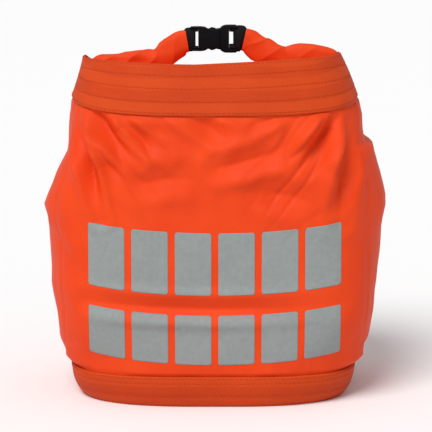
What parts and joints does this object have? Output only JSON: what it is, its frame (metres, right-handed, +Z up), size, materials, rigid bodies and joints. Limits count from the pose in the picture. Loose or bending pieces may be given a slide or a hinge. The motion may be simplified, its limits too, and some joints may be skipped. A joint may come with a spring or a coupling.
{
  "type": "escape rope ladder",
  "caption": "Rope ladder with tube rungs packed in a standing roll-top nylon bag, its collar ends buckled into a carrying loop.",
  "frame": {"origin": "centre of the bag's bounding box on the floor", "axes": "+Z up, the front with the reflective rows faces -Y, +X to the viewer's right"},
  "size_m": [0.337, 0.2075, 0.3637],
  "materials": {
    "coated_nylon": "bright orange-red coated nylon, slight sheen, soft creases",
    "orange_webbing": "woven polyester webbing, four lengthwise panels, stitched along its edges",
    "reflective_print": "grey retro-reflective film, satin",
    "black_webbing": "woven black webbing",
    "buckle_plastic": "black moulded acetal, satin gloss",
    "rung_aluminium": "drawn tube",
    "plug_plastic": "moulded nylon",
    "screw_steel": "zinc plated steel",
    "rope": "braided polyester rope",
    "swage_aluminium": "pressed",
    "carabiner_aluminium": "polished",
    "gate_steel": "satin"
  },
  "bodies": {
    "bag": {"bag_front_panel": "coated_nylon", "bag_back_panel": "coated_nylon", "bag_gusset_left": "coated_nylon", "bag_gusset_right": "coated_nylon", "base_panel": "coated_nylon", "base_band": "orange_webbing", "mouth_band": "orange_webbing", "reflective_row_upper": "reflective_print", "reflective_row_lower": "reflective_print", "collar_skirt": "coated_nylon", "collar_roll": "coated_nylon", "rung_01": "rung_aluminium", "rung_02": "rung_aluminium", "rung_03": "rung_aluminium", "rung_04": "rung_aluminium", "rung_05": "rung_aluminium", "rung_06": "rung_aluminium", "rung_07": "rung_aluminium", "rung_08": "rung_aluminium", "rung_09": "rung_aluminium", "rung_10": "rung_aluminium", "rung_11": "rung_aluminium", "rung_12": "rung_aluminium", "rung_end_plugs": "plug_plastic", "rope_lock_screws": "screw_steel", "side_rope_left": "rope", "side_rope_right": "rope", "rope_end_stop_left": "swage_aluminium", "rope_end_stop_right": "swage_aluminium", "eye_ferrule_left": "swage_aluminium", "eye_ferrule_right": "swage_aluminium", "thimble_left": "screw_steel", "thimble_right": "screw_steel", "carabiner_left_body": "carabiner_aluminium", "carabiner_left_pin": "screw_steel", "carabiner_right_body": "carabiner_aluminium", "carabiner_right_pin": "screw_steel"},
    "carrying_loop": {"collar_arm_left": "coated_nylon", "collar_arm_right": "coated_nylon", "buckle_tab_left": "black_webbing", "buckle_female": "buckle_plastic"},
    "buckle_male_half": {"buckle_male": "buckle_plastic", "buckle_tab_right": "black_webbing"},
    "upper_prong": {"prong_upper": "buckle_plastic"},
    "lower_prong": {"prong_lower": "buckle_plastic"},
    "left_gate": {"carabiner_left_gate": "gate_steel"},
    "right_gate": {"carabiner_right_gate": "gate_steel"}
  },
  "joints": [
    {"name": "loop_tilt", "type": "hinge", "parent": "bag", "child": "carrying_loop", "pos_m": [0, 0, 0.33], "axis": [1, 0, 0], "range_deg": [-40, 40], "stiffness_Nm_per_rad": 0.06, "deforming": ["collar_arm_left", "collar_arm_right"]},
    {"name": "buckle_release", "type": "slide", "parent": "carrying_loop", "child": "buckle_male_half", "axis": [1, 0, 0], "range_m": [0, 0.026], "deforming": ["prong_upper", "prong_lower"]},
    {"name": "upper_prong_squeeze", "type": "hinge", "parent": "buckle_male_half", "child": "upper_prong", "pos_m": [0.0052, 0, 0.3547], "axis": [0, -1, 0], "range_deg": [0, 16], "stiffness_Nm_per_rad": 0.05},
    {"name": "lower_prong_squeeze", "type": "hinge", "parent": "buckle_male_half", "child": "lower_prong", "pos_m": [0.0052, 0, 0.3443], "axis": [0, 1, 0], "range_deg": [0, 16], "stiffness_Nm_per_rad": 0.05},
    {"name": "left_gate_swing", "type": "hinge", "parent": "bag", "child": "left_gate", "pos_m": [-0.028, 0.043, 0.2521], "axis": [0, 0, 1], "range_deg": [0, 26], "stiffness_Nm_per_rad": 0.1},
    {"name": "right_gate_swing", "type": "hinge", "parent": "bag", "child": "right_gate", "pos_m": [0.028, 0.043, 0.2521], "axis": [0, 0, -1], "range_deg": [0, 26], "stiffness_Nm_per_rad": 0.1}
  ]
}
